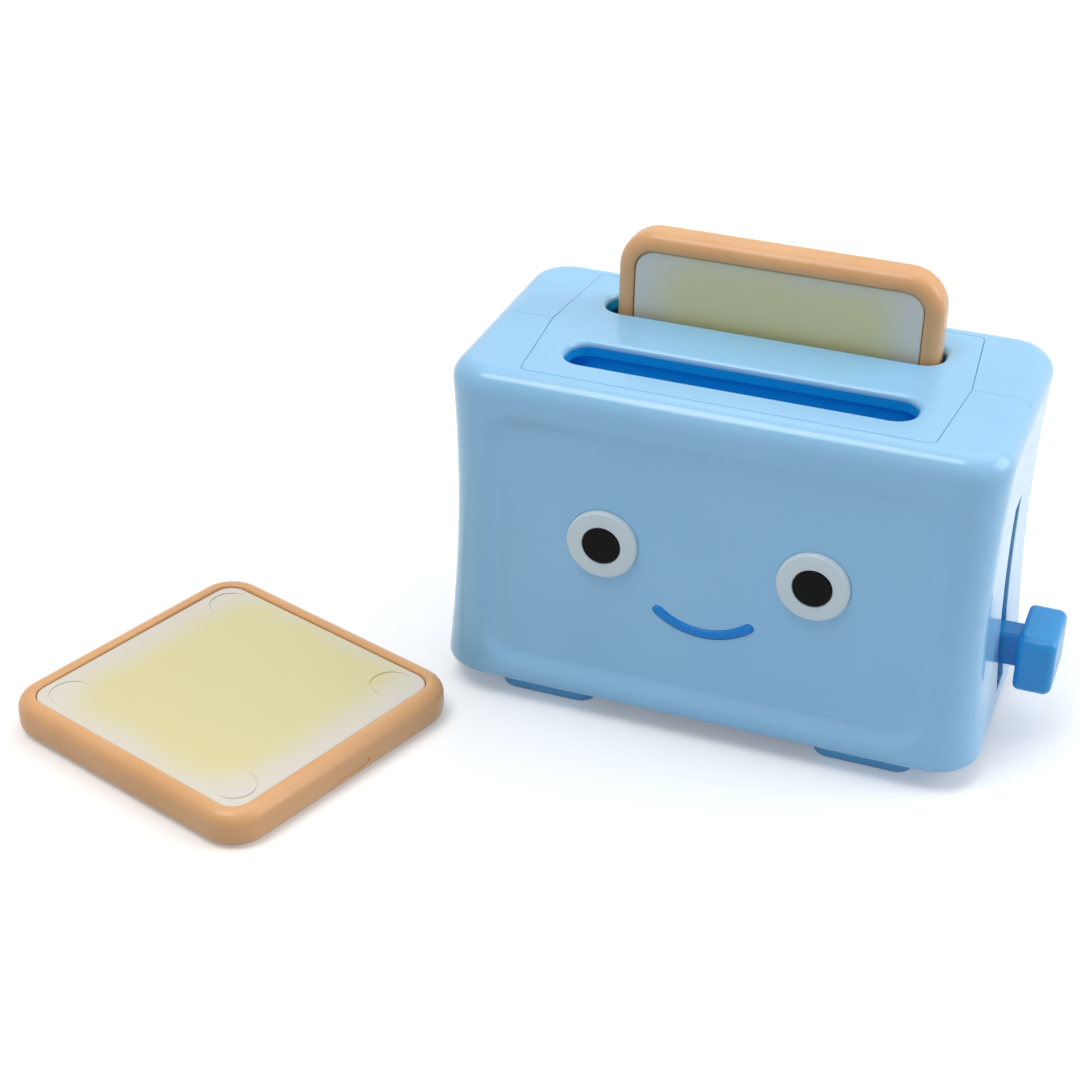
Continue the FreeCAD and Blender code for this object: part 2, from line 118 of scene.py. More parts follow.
class ToasterColours(bpy.types.PropertyGroup):
    shell: colour("Shell", "Light-blue ABS of the half-shells and the top insert", "#9AD2F8")
    # The inner colour is painted shade: a saturated blue, deeper than the shell's, that stands in for the
    # shade down the bread slots. The base plate and the carriage share it.
    inner: colour("Inner parts", "Deep-blue ABS of the wells, the carriage and the base", "#16B4FC")
    feet: colour("Feet", "Mid-blue ABS of the feet", "#78C6F8")
    lever: colour("Lever", "Saturated blue ABS of the knob and its stem", "#1C9EE2")
    smile: colour("Smile", "Saturated blue of the smile bar", "#0A8CE6")
    eye: colour("Eye", "Cool white of the raised discs", "#DCEAF0")
    pupil: colour("Pupil", "Black of the inlaid discs", "#080A09")
    steel: colour("Steel", "Ground steel of the guide rods and the pin", "#B9BBBD")
    zinc: colour("Zinc", "Bright zinc plating of the case screws", "#C9CBCB")
    crust: colour("Crust", "Tan vinyl of the crusts", "#E8B27A")
    bread: colour("Bread", "Off-white vinyl of the slice faces", "#E4DDD1")
    butter: colour("Butter", "Yellow sprayed on the middle of the slice faces", "#E4DBA6")


class BodySizes(bpy.types.PropertyGroup):
    corner: length("Corner", "Radius of the upright corners", 5.0)
    top_round: length("Top round", "Radius along the top edge", 3.0)
    lower_bevel: length("Lower bevel", "Rounding along the lower edge", 1.1)
    waist_height: length("Waist height", "Height where the sides are narrowest", 26.0)
    flare_top: length("Upper flare", "Spread of the sides at the top", 0.85)
    flare_bottom: length("Lower flare", "Spread of the sides at the bottom", 1.25)
    wall: length("Wall", "Moulded wall thickness", 1.8)
    seam: length("Seam", "Half of the gap between the half-shells", 0.015)
    seam_edge: length("Seam edge", "Rounding of the edges along that gap", 0.05)
    rim_edge: length("Rim edge", "Rounding of the openings' edges", 0.2)
    lip_width: length("Lip width", "Lip that the base plate lies on", 0.6)
    ledge_width: length("Ledge width", "Ledge that the top insert lies on", 1.2)
    ledge_thick: length("Ledge thickness", "Thickness of that ledge", 1.5)
    lever_slot_half_width: length("Lever slot half width", "Half width of the slot in the side", 2.1)
    lever_slot_low: length("Lever slot bottom", "Lower end of the slot in the side", 5.9)
    lever_slot_high: length("Lever slot top", "Upper end of the slot in the side", 32.2)
    lever_slot_reach: length("Lever slot reach", "How far its cutter reaches to both sides of the wall", 4.0)


class PanelSizes(bpy.types.PropertyGroup):
    depth: length("Floor", "Distance of the panel's floor from the parting plane, at the waist", 17.35)
    half_width: length("Half width", "Half width of the panel's floor", 27.1)
    low: length("Bottom", "Lower edge of the panel's floor", 7.3)
    high: length("Top", "Upper edge of the panel's floor", 39.2)
    corner: length("Corner", "Radius of the floor's corners", 3.0)
    slope: length("Slope", "Width of the soft slope round the floor", 2.3)
    follow: share("Follow", "How much the floor follows the flare of the sides", 0.88)


class FixingSizes(bpy.types.PropertyGroup):
    socket_radius: length("Rod socket", "Radius of the sockets for the guide rods", 1.8)
    socket_length: length("Rod socket length", "How far the sockets reach down along the rods", 3.95)
    socket_hole: length("Rod socket hole", "Radius of the holes in the sockets", 1.02)
    boss_radius: length("Boss", "Radius of the screw bosses", 1.9)
    boss_head_radius: length("Boss head", "Radius of a boss round its screw head", 2.7)
    boss_head_start: length("Boss head start", "Where that wider part starts", 12.9)
    screw_seat: length("Screw seat", "Where the seats under the screw heads lie", 13.6)
    seat_radius: length("Screw seat radius", "Radius of those seats", 1.85)
    seat_edge: length("Screw seat edge", "Rounding of the seats' outer edges", 0.25)
    hole_radius: length("Screw hole", "Radius of the clearance holes", 1.15)
    pilot_radius: length("Pilot hole", "Radius of the pilot holes", 1.03)
    pilot_spare: length("Pilot spare", "Depth of the pilot holes past the screws", 0.4)
    head_radius: length("Screw head", "Radius of the screw heads", 1.7)


class InsertSizes(bpy.types.PropertyGroup):
    end: length("End", "Half length along the front and rear edges", 25.5)
    kink: length("Kink", "Half length on the parting plane", 26.8)
    half_depth: length("Half depth", "Half depth of the seat", 15.25)
    corner: length("Corner", "Radius of the corners", 0.9)
    gap: length("Gap", "Hairline between the insert and the shells", 0.005)
    slot_y: length("Slot place", "Distance of each bread slot from the parting plane", 7.95)
    slot_half_length: length("Slot half length", "Half length of a bread slot", 22.0)
    slot_half_width: length("Slot half width", "Half width of a bread slot", 3.2)
    slot_corner: length("Slot corner", "Corner radius of a bread slot", 2.75)
    slot_lip: length("Slot lip", "Rounding of the slots' rims", 0.7)
    edge: length("Edge", "Rounding of the plate's own edge", 0.2)
    # The well rims carry that painted slot shade up into the insert's slot walls, just below the lip.
    rim_height: length("Well rim height", "How far the rims of the wells reach up into the insert", 1.2)
    rim_wall: length("Well rim", "Thickness of those rims", 0.35)
    rim_play: length("Well rim play", "Gap between a rim and the insert", 0.02)


class FootSizes(bpy.types.PropertyGroup):
    corner: length("Corner", "Corner radius of a foot", 2.2)
    lower_edge: length("Lower edge", "Rounding along the floor", 0.5)
    upper_edge: length("Upper edge", "Rounding under the base", 0.2)
    apron: length("Apron", "How far the pads reach past the plain solids, towards the front and rear", 0.9)
    peg_half: length("Peg", "Half side of the square peg through the base", 1.4)


class LeverSizes(bpy.types.PropertyGroup):
    corner: length("Knob corner", "Corner radius of the knob", 1.6)
    edge: length("Knob edge", "Rounding of the knob's outer edge", 1.1)
    inner_edge: length("Knob inner edge", "Rounding of the knob's inner edge", 0.7)
    stem_half_width: length("Stem", "Half width of the stem", 1.75)
    stem_top: length("Stem top", "Height of the stem's upper side", 14.4)
    play: length("Play", "Gap between the stem and its socket", 0.02)


class FaceSizes(bpy.types.PropertyGroup):
    eye_edge: length("Eye edge", "Rounding of the raised discs", 0.4)
    pupil_edge: length("Pupil edge", "Rounding of the inlaid discs", 0.12)
    pupil_play: length("Pupil play", "Gap between a pupil and its seat", 0.04)
    seat_edge: length("Seat edge", "Bevel round the pupil's seat", 0.08)
    seat_gap: length("Seat gap", "Gap round the eyes and the smile in the panel", 0.05)
    pocket: length("Pocket", "Depth of the seats in the front panel", 0.5)
    smile_radius: length("Smile radius", "Radius of the smile's centre line", 9.5)
    smile_angle: turn("Smile angle", "Half angle of the smile", 38.0)
    smile_width: length("Smile width", "Width of the smile bar", 1.25)
    smile_edge: length("Smile edge", "Rounding of the smile bar", 0.35)


class SliceSizes(bpy.types.PropertyGroup):
    corner: length("Corner", "Corner radius of a slice", 5.0)
    edge: length("Edge", "Rounding of the crust's outer edges", 1.7)
    inner_edge: length("Inner edge", "Rounding of the crust towards the face", 0.35)
    rim: length("Rim", "Width of the crust", 2.3)
    web: length("Web", "Thickness of the web between the faces", 1.0)
    recess: length("Recess", "Depth of the faces below the crust", 0.3)
    face_corner: length("Face corner", "Corner radius of the pocket", 2.7)
    face_gap: length("Face gap", "Gap between a face and the crust", 0.09)
    face_edge: length("Face edge", "Rounding of a face's edge", 0.2)
    peg_inset: length("Peg inset", "Distance of the pegs from the edges of the pocket", 4.0)
    peg_half: length("Peg", "Half side of the square pegs", 1.3)
    peg_play: length("Peg play", "Gap round a peg", 0.03)
    mark_radius: length("Mark radius", "Radius of the rings round the ejector pins", 2.85)
    mark_line: length("Mark line", "Width of those rings", 0.24)
    mark_inset: length("Mark inset", "Distance of the marks from the edges of a face", 3.8)
    mark_depth: length("Mark depth", "Depth of the rings at their middle", 0.04)
    mark_lean: turn("Mark lean", "Lean of the ejector pins, which makes a crescent of each ring", 2.6)
    gate_half_length: length("Gate half length", "Half length of the trimmed gate in the crust's side", 3.0)
    gate_half_width: length("Gate half width", "Half width of the trimmed gate", 0.55)
    gate_depth: length("Gate depth", "Depth of the trimmed gate", 0.12)
    gate_drop: length("Gate drop", "Distance of the gate below the middle of the crust", 0.5)
    loose_turn: turn("Loose slice", "Turn of the loose slice on the floor", -18.5)


class StageSettings(bpy.types.PropertyGroup):
    lens: FloatProperty(name="Lens", description="Focal length", default=73.75, min=1, unit="CAMERA")
    camera_place: place("Camera place", "Where the camera stands", (0.05953, -0.24114, 0.16514))
    azimuth: turn("Azimuth", "Turn of the camera round the toy", 19.94)
    elevation: turn("Elevation", "How far the camera looks down", 30.66)
    roll: turn("Roll", "Turn of the camera about its own axis", 1.07)
    ambient: share("Ambient", "Level of the light from all round", 0.36)
    softbox: power("Softbox", "Power of the large overhead softbox", 21)
    softbox_size: length("Softbox size", "Side of the overhead softbox", 2500)
    softbox_place: place("Softbox place", "Middle of the overhead softbox", (0.2, 0.9, 2.4))
    key: power("Key lamp", "Power of the small lamp above the front", 11)
    key_size: length("Key lamp size", "Side of the key lamp", 800)
    key_place: place("Key lamp place", "Middle of the key lamp", (-0.42, -0.47, 1.72))
    side_box: power("Side softbox", "Power of the softbox on the lever's side", 9)
    side_box_size: length("Side softbox size", "Side of that softbox", 1000)
    side_box_place: place("Side softbox place", "Middle of that softbox", (1.3, 0.5, 0.7))
    floor_half: length("Floor", "Half side of the paper on the floor", 1200)
    paper: colour("Paper", "Colour of the paper as it lights the toy", "#C4CCD5")


GROUPS = {
    "toaster_colours": ToasterColours,
    "toaster_body": BodySizes,
    "toaster_panel": PanelSizes,
    "toaster_fixings": FixingSizes,
    "toaster_insert": InsertSizes,
    "toaster_feet": FootSizes,
    "toaster_lever": LeverSizes,
    "toaster_face": FaceSizes,
    "toaster_slice": SliceSizes,
    "toaster_stage": StageSettings,
}


# ----------------------------------------------------------------- mesh making
def block(low, high):
    """Box between two corners."""
    low, high = Vector(low), Vector(high)
    bm = bmesh.new()
    bmesh.ops.create_cube(bm, size=1, matrix=Matrix.LocRotScale((low + high) / 2, None, high - low))
    return bm


def edges_along(bm, axis):
    """Edges that run along one axis."""
    def run(edge):
        return (edge.verts[1].co - edge.verts[0].co).normalized()
    return [edge for edge in bm.edges if abs(run(edge)[axis]) > 1 - NEAR]


def edges_at(bm, axis, level):
    """Edges that lie in the plane across an axis at a level."""
    return [edge for edge in bm.edges if all(abs(v.co[axis] - level) < NEAR for v in edge.verts)]


def creases(bm, inside):
    """Sharp edges whose ends are both inside the region."""
    paired = [edge for edge in bm.edges if len(edge.link_faces) == 2]
    sharp = [edge for edge in paired if edge.calc_face_angle() > CREASE]
    return [edge for edge in sharp if all(inside(v.co) for v in edge.verts)]


def round_edges(bm, edges, radius, steps):
    bmesh.ops.bevel(bm, geom=edges, offset=radius, offset_type="OFFSET", segments=steps, profile=0.5,
                    affect="EDGES", clamp_overlap=False, material=-1)


def soft_block(low, high, corner, axis=Z, ends=(0, 0), steps=8):
    """Box with its four edges along an axis rounded, and then the rims of its two ends."""
    bm = block(low, high)
    round_edges(bm, edges_along(bm, axis), corner, steps)
    for level, radius in ((low[axis], ends[0]), (high[axis], ends[1])):
        if radius:
            round_edges(bm, edges_at(bm, axis, level), radius, steps)
    return bm


def rod(radius, start, end, steps=MEDIUM):
    """Closed cylinder between two points."""
    start, end = Vector(start), Vector(end)
    # brought to length one first, because a very short direction is turned wrongly
    turned = (end - start).normalized().to_track_quat("Z", "Y")
    bm = bmesh.new()
    matrix = Matrix.LocRotScale((start + end) / 2, turned, None)
    bmesh.ops.create_cone(bm, cap_ends=True, segments=steps, radius1=radius, radius2=radius,
                          depth=(end - start).length, matrix=matrix)
    return bm


def lathe(profile, centre, steps=FINEST):
    """Solid turned about an axis along Y, from (radius, y) points that start and end on the axis."""
    bm = bmesh.new()
    verts = [bm.verts.new((centre.x + radius, y, centre.z)) for radius, y in profile]
    edges = [bm.edges.new(pair) for pair in zip(verts, verts[1:])]
    bmesh.ops.spin(bm, geom=verts + edges, cent=centre, axis=(0, 1, 0), angle=math.tau, steps=steps,
                   use_merge=True)
    bmesh.ops.remove_doubles(bm, verts=bm.verts, dist=NEAR)
    bmesh.ops.recalc_face_normals(bm, faces=bm.faces)
    return bm


def round_edge_points(radius, y, edge, steps=6):
    """(radius, y) points of a rounded edge, from a front face at y to a side at a radius."""
    angles = [math.pi / 2 * step / steps for step in range(steps + 1)]
    return [(radius - edge + edge * math.sin(angle), y + edge - edge * math.cos(angle)) for angle in angles]


def score(bm, faces, axis, level):
    """Cuts some faces of a mesh along the plane across an axis."""
    geometry = set(faces)
    for face in faces:
        geometry.update(face.edges)
        geometry.update(face.verts)
    point, normal = Vector(), Vector()
    point[axis], normal[axis] = level, 1
    bmesh.ops.bisect_plane(bm, geom=list(geometry), plane_co=point, plane_no=normal, dist=NEAR)


def spaced(start, end, step):
    """Even levels from start to end, both included, about one step apart."""
    count = max(1, round((end - start) / step))
    return [start + (end - start) * index / count for index in range(count + 1)]


def made(bm, name):
    """Object that holds a bmesh."""
    mesh = bpy.data.meshes.new(name)
    bm.to_mesh(mesh)
    bm.free()
    solid = bpy.data.objects.new(name, mesh)
    bpy.context.scene.collection.objects.link(solid)
    return solid


def unmade(solid):
    """Bmesh of an object, which is removed."""
    bm = bmesh.new()
    bm.from_mesh(solid.data)
    bpy.data.objects.remove(solid)
    return bm


def carve(solid, tools, operation="DIFFERENCE"):
    """Cuts bmesh tools from a solid, or fuses them to it, and keeps the result in its mesh."""
    held = [made(tool, "tool") for tool in tools]
    for tool in held:
        step = solid.modifiers.new("carve", "BOOLEAN")
        step.operation, step.object, step.solver = operation, tool, "EXACT"
    worked = solid.evaluated_get(bpy.context.evaluated_depsgraph_get())
    mesh = bpy.data.meshes.new_from_object(worked)
    solid.modifiers.clear()
    solid.data = mesh
    for tool in held:
        bpy.data.objects.remove(tool)
    return solid


def reworked(solid, work):
    """Merges the doubled points of a finished mesh and runs a bmesh function on it."""
    bm = bmesh.new()
    bm.from_mesh(solid.data)
    bmesh.ops.remove_doubles(bm, verts=bm.verts, dist=NEAR)
    work(bm)
    bm.to_mesh(solid.data)
    bm.free()
    return solid


def dress(solid, name, body, slot, material, *replaced):
    """Names a finished piece, shades it, gives it its material, seats it on its body and hides the CAD nodes
    that it stands for."""
    solid.name = name
    solid.data.name = name
    solid.data.materials.clear()
    solid.data.materials.append(material)
    solid.data.shade_smooth()
    solid.data.set_sharp_from_angle(angle=SHARP_SHADING)
    even = solid.modifiers.new("Even normals", "WEIGHTED_NORMAL")
    even.keep_sharp = True
    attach(solid, body)
    if replaced:
        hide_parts(*replaced)


def paint(names, material):
    """Gives CAD nodes their material."""
    for name in names:
        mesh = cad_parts[name].data
        mesh.materials.clear()
        mesh.materials.append(material)


def middle_of(node):
    low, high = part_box(node)
    return (low + high) / 2


# ------------------------------------------------------------------- materials
def add_node(tree, kind, inputs=None, **settings):
    """Adds a shader node with its settings, and links or sets its inputs."""
    node = tree.nodes.new("ShaderNode" + kind)
    for key, value in settings.items():
        setattr(node, key, value)
    for key, value in (inputs or {}).items():
        if isinstance(value, bpy.types.NodeSocket):
            tree.links.new(value, node.inputs[key])
        else:
            node.inputs[key].default_value = value
    return node


def new_material(name):
    """Empty material and its node tree."""
    material = bpy.data.materials.new(name)
    material.use_nodes = True
    material.node_tree.nodes.clear()
    return material, material.node_tree


def per_metre(size_mm):
    """Noise scale at which a feature is about this many millimetres wide."""
    return 1 / (size_mm * MM)


def tinted(tint, red=1.0, green=1.0, blue=1.0):
    """Colour with its channels scaled, and full alpha."""
    return (tint[0] * red, tint[1] * green, tint[2] * blue, 1)


def moulded_abs(name, tint, roughness, specular=0.5):
    """Injection-moulded ABS from a polished tool: a clear gloss over a faint orange peel, flow marks that
    are barely a shade deeper, and a gloss that is a little uneven, as on a toy that is handled."""
    material, tree = new_material(name)
    position = add_node(tree, "TexCoord").outputs["Object"]
    flow = add_node(tree, "TexNoise", {"Vector": position, "Scale": per_metre(18), "Detail": 1.0,
                                       "Roughness": 0.4})
    body = add_node(tree, "MixRGB", {"Fac": add_node(tree, "MapRange", {
        "Value": flow.outputs["Fac"], "From Min": 0.35, "From Max": 0.65}).outputs["Result"],
        "Color1": tinted(tint), "Color2": tinted(tint, 0.955, 0.97, 0.985)})
    haze = add_node(tree, "TexNoise", {"Vector": position, "Scale": per_metre(5), "Detail": 3.0})
    gloss = add_node(tree, "MapRange", {"Value": haze.outputs["Fac"], "From Min": 0.3, "From Max": 0.7,
                                        "To Min": roughness - 0.02, "To Max": roughness + 0.02})
    peel = add_node(tree, "TexNoise", {"Vector": position, "Scale": per_metre(2.4), "Detail": 1.0})
    bump = add_node(tree, "Bump", {"Height": peel.outputs["Fac"], "Distance": 0.002 * MM})
    shader = add_node(tree, "BsdfPrincipled", {
        "Base Color": body.outputs[0], "Roughness": gloss.outputs["Result"], "IOR": 1.54,
        "Specular IOR Level": specular, "Normal": bump.outputs["Normal"], "Subsurface Weight": 0.06,
        "Subsurface Radius": (0.3, 0.6, 1.0), "Subsurface Scale": 1.0 * MM})
    add_node(tree, "OutputMaterial", {"Surface": shader.outputs[0]})
    return material


def drawn_steel(name, tint, roughness, line_mm):
    """Drawn and ground steel: a bright metal with fine upright lines that streak the reflection."""
    material, tree = new_material(name)
    position = add_node(tree, "TexCoord").outputs["Object"]
    stretched = add_node(tree, "Mapping", {"Vector": position, "Scale": (1, 1, 0.05)})
    lines = add_node(tree, "TexNoise", {"Vector": stretched.outputs[0], "Scale": per_metre(line_mm),
                                        "Detail": 3.0})
    gloss = add_node(tree, "MapRange", {"Value": lines.outputs["Fac"], "To Min": roughness - 0.08,
                                        "To Max": roughness + 0.12})
    bump = add_node(tree, "Bump", {"Height": lines.outputs["Fac"], "Distance": 0.004 * MM})
    shader = add_node(tree, "BsdfPrincipled", {
        "Base Color": tinted(tint), "Metallic": 1.0, "Roughness": gloss.outputs["Result"],
        "Normal": bump.outputs["Normal"]})
    add_node(tree, "OutputMaterial", {"Surface": shader.outputs[0]})
    return material


def soft_vinyl(name, tint):
    """Injection-moulded soft PVC: a waxy gloss over low shrink waves, pigment that clouds a little redder in
    places, and light that goes a short way in and softens the edges."""
    material, tree = new_material(name)
    position = add_node(tree, "TexCoord").outputs["Object"]
    cloud = add_node(tree, "TexNoise", {"Vector": position, "Scale": per_metre(11), "Detail": 2.0,
                                        "Roughness": 0.5})
    mix = add_node(tree, "MapRange", {"Value": cloud.outputs["Fac"], "From Min": 0.35, "From Max": 0.65})
    body = add_node(tree, "MixRGB", {"Fac": mix.outputs["Result"], "Color1": tinted(tint),
                                     "Color2": tinted(tint, 0.95, 0.9, 0.88)})
    waves = add_node(tree, "TexNoise", {"Vector": position, "Scale": per_metre(7), "Detail": 1.0})
    grain = add_node(tree, "TexNoise", {"Vector": position, "Scale": per_metre(0.5), "Detail": 2.0})
    low = add_node(tree, "Bump", {"Height": waves.outputs["Fac"], "Distance": 0.1 * MM})
    fine = add_node(tree, "Bump", {"Height": grain.outputs["Fac"], "Distance": 0.003 * MM,
                                   "Normal": low.outputs["Normal"]})
    shader = add_node(tree, "BsdfPrincipled", {
        "Base Color": body.outputs[0], "Roughness": 0.34, "IOR": 1.53, "Normal": fine.outputs["Normal"],
        "Subsurface Weight": 0.25, "Subsurface Radius": (1.0, 0.55, 0.3), "Subsurface Scale": 1.5 * MM})
    add_node(tree, "OutputMaterial", {"Surface": shader.outputs[0]})
    return material


def airbrushed_vinyl(name, bread, butter):
    """Off-white PVC with a yellow patch sprayed through a soft mask: the patch fades out over several
    millimetres in a cloudy, finely speckled edge, and the paint is a little flatter than the vinyl."""
    # in shares of a slice's width and height
    patch_middle, patch_half, stray = (0.5, 0.53, 0), (0.21, 0.26, 0), (0.1, 0.1, 0)
    material, tree = new_material(name)
    flat = add_node(tree, "UVMap", uv_map="Slice").outputs[0]
    cloud = add_node(tree, "TexNoise", {"Vector": flat, "Scale": 4.0, "Detail": 2.0})
    wander = add_node(tree, "VectorMath", {0: cloud.outputs["Color"], 1: (0.5, 0.5, 0.5)},
                      operation="SUBTRACT")
    strayed = add_node(tree, "VectorMath", {0: wander.outputs[0], 1: stray, 2: flat},
                       operation="MULTIPLY_ADD")
    centred = add_node(tree, "VectorMath", {0: strayed.outputs[0], 1: patch_middle}, operation="SUBTRACT")
    reach = add_node(tree, "VectorMath", {0: centred.outputs[0]}, operation="ABSOLUTE")
    over = add_node(tree, "VectorMath", {0: reach.outputs[0], 1: patch_half}, operation="SUBTRACT")
    out = add_node(tree, "VectorMath", {0: over.outputs[0], 1: (0, 0, 0)}, operation="MAXIMUM")
    distance = add_node(tree, "VectorMath", {0: out.outputs[0]}, operation="LENGTH")
    speckle = add_node(tree, "TexNoise", {"Vector": flat, "Scale": 220.0, "Detail": 1.0})
    rough_edge = add_node(tree, "Math", {0: speckle.outputs["Fac"], 1: 0.04, 2: distance.outputs["Value"]},
                          operation="MULTIPLY_ADD")
    spray = add_node(tree, "MapRange", {"Value": rough_edge.outputs[0], "From Min": 0.09, "From Max": 0.25,
                                        "To Min": 1.0, "To Max": 0.0}, interpolation_type="SMOOTHSTEP")
    body = add_node(tree, "MixRGB", {"Fac": spray.outputs["Result"], "Color1": tinted(bread),
                                     "Color2": tinted(butter)})
    gloss = add_node(tree, "MapRange", {"Value": spray.outputs["Result"], "To Min": 0.42, "To Max": 0.5})
    position = add_node(tree, "TexCoord").outputs["Object"]
    grain = add_node(tree, "TexNoise", {"Vector": position, "Scale": per_metre(0.6), "Detail": 2.0})
    bump = add_node(tree, "Bump", {"Height": grain.outputs["Fac"], "Distance": 0.004 * MM})
    shader = add_node(tree, "BsdfPrincipled", {
        "Base Color": body.outputs[0], "Roughness": gloss.outputs["Result"], "IOR": 1.53,
        "Normal": bump.outputs["Normal"], "Subsurface Weight": 0.1, "Subsurface Radius": (1.0, 0.8, 0.5),
        "Subsurface Scale": 1.0 * MM})
    add_node(tree, "OutputMaterial", {"Surface": shader.outputs[0]})
    return material


def seen_ray(tree):
    """Socket that is 1 for what the eye sees, straight or in a mirror or through glass, and else 0."""
    path = add_node(tree, "LightPath")
    seen = path.outputs["Is Camera Ray"]
    for word in ("Is Glossy Ray", "Is Transmission Ray"):
        seen = add_node(tree, "Math", {0: seen, 1: path.outputs[word]}, operation="MAXIMUM").outputs[0]
    return seen


def studio_paper(tint):
    """Matt paper: it keeps the soft contact shadow, and the eye sees it nearly white."""
    material, tree = new_material("Matt studio paper")
    seen = seen_ray(tree)
    position = add_node(tree, "TexCoord").outputs["Object"]
    fibre = add_node(tree, "TexNoise", {"Vector": position, "Scale": per_metre(0.4), "Detail": 2.0})
    bump = add_node(tree, "Bump", {"Height": fibre.outputs["Fac"], "Distance": 0.005 * MM})
    paper = add_node(tree, "MixRGB", {"Fac": seen, "Color1": tinted(tint), "Color2": (0.97, 0.97, 0.97, 1)})
    matt = add_node(tree, "BsdfDiffuse", {"Color": paper.outputs[0], "Normal": bump.outputs["Normal"]})
    glow = add_node(tree, "Math", {0: seen, 1: 0.2}, operation="MULTIPLY")
    light = add_node(tree, "Emission", {"Strength": glow.outputs[0]})
    both = add_node(tree, "AddShader", {0: matt.outputs[0], 1: light.outputs[0]})
    add_node(tree, "OutputMaterial", {"Surface": both.outputs[0]})
    return material


def light_world(scene, level):
    """Even light from all round: white where it is seen or mirrored, and dimmer where it lights."""
    world = bpy.data.worlds.new("Studio")
    world.use_nodes = True
    tree = world.node_tree
    tree.nodes.clear()
    strength = add_node(tree, "MapRange", {"Value": seen_ray(tree), "To Min": level, "To Max": 1.0})
    sky = add_node(tree, "Background", {"Color": (1, 1, 1, 1), "Strength": strength.outputs["Result"]})
    add_node(tree, "OutputWorld", {"Surface": sky.outputs[0]})
    scene.world = world


# ------------------------------------------------------------------ the shells
def body_span():
    """Lowest and highest corner of the two half-shells together."""
    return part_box("front_shell")[0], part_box("rear_shell")[1]


def flare_of(sizes):
    """Function of the height that tells how far the sides stand out from the waist: a parabola through the
    lower edge, the waist and the top."""
    low, high = body_span()
    down, up = low.z - sizes.waist_height, high.z - sizes.waist_height
    bend = (sizes.flare_top / up - sizes.flare_bottom / down) / (up - down)
    lean = sizes.flare_top / up - bend * up

    def spread(height):
        rise = height - sizes.waist_height
        return rise * (lean + bend * rise)
    return spread


def waist_of(sizes):
    """Half width and half depth of the body at its waist."""
    low, high = body_span()
    widest = flare_of(sizes)(low.z + sizes.lower_bevel)
    return high.x - widest, high.y - widest


def panel_distance(panel, point):
    """Distance of a point of the front outside the panel's floor, negative inside it."""
    across = abs(point.x) - panel.half_width + panel.corner
    upward = abs(point.z - (panel.low + panel.high) / 2) - (panel.high - panel.low) / 2 + panel.corner
    return math.hypot(max(across, 0), max(upward, 0)) + min(max(across, upward), 0) - panel.corner


def score_panel(bm, panel):
    """Cuts the flat front finely where the panel's slope will lie, and coarsely across its floor."""
    margin, fine, coarse = 0.6 * MM, 0.4 * MM, 2.5 * MM
    inner = panel.half_width - panel.corner - margin
    columns = spaced(inner, panel.half_width + panel.slope + margin, fine)
    rows = spaced(panel.low - panel.slope - margin, panel.low + panel.corner, fine)
    rows += spaced(panel.high - panel.corner, panel.high + panel.slope + margin, fine)

    def front():
        return [face for face in bm.faces if face.normal.y < -1 + NEAR]

    for column in [-x for x in columns] + columns + spaced(-inner, inner, coarse)[1:-1]:
        score(bm, front(), X, column)
    for row in rows:
        score(bm, front(), Z, row)


def press_panel(bm, panel, spread):
    """Presses the shallow panel into the front, with a slope that is soft at both ends."""
    for vert in bm.verts:
        floor = -panel.depth - panel.follow * spread(vert.co.z)
        if vert.co.y < floor:
            part = min(max(panel_distance(panel, vert.co) / panel.slope, 0), 1)
            part = part * part * (3 - 2 * part)
            vert.co.y = floor + part * (vert.co.y - floor)


def shell_form(sizes, panel, side):
    """Closed outer form of one half-shell, side -1 for the front and 1 for the rear."""
    low, high = body_span()
    half_width, half_depth = waist_of(sizes)
    spread = flare_of(sizes)
    bm = block((-half_width, -half_depth, low.z), (half_width, half_depth, high.z))
    round_edges(bm, edges_along(bm, Z), sizes.corner, steps=12)
    round_edges(bm, edges_at(bm, Z, high.z), sizes.top_round, steps=10)
    round_edges(bm, edges_at(bm, Z, low.z), sizes.lower_bevel, steps=5)
    keep = Vector((0, side, 0))
    whole = bm.verts[:] + bm.edges[:] + bm.faces[:]
    cut = bmesh.ops.bisect_plane(bm, geom=whole, plane_co=keep * sizes.seam, plane_no=keep, clear_inner=True,
                                 dist=NEAR)["geom_cut"]
    bmesh.ops.edgeloop_fill(bm, edges=[part for part in cut if isinstance(part, bmesh.types.BMEdge)])
    bmesh.ops.recalc_face_normals(bm, faces=bm.faces)
    round_edges(bm, edges_at(bm, Y, side * sizes.seam), sizes.seam_edge, steps=2)
    for level in spaced(low.z + sizes.lower_bevel, high.z - sizes.top_round, SCORE_STEP)[1:-1]:
        score(bm, bm.faces[:], Z, level)
    if side < 0:
        score_panel(bm, panel)
    inner_x, inner_y = half_width - sizes.corner, half_depth - sizes.corner
    for vert in bm.verts:
        core_x = min(max(vert.co.x, -inner_x), inner_x)
        core_y = min(max(vert.co.y, -inner_y), inner_y)
        outward = vert.co - Vector((core_x, core_y, vert.co.z))
        if outward.length > NEAR:
            vert.co += outward.normalized() * spread(vert.co.z)
    if side < 0:
        press_panel(bm, panel, spread)
    return made(bm, "shell_form")


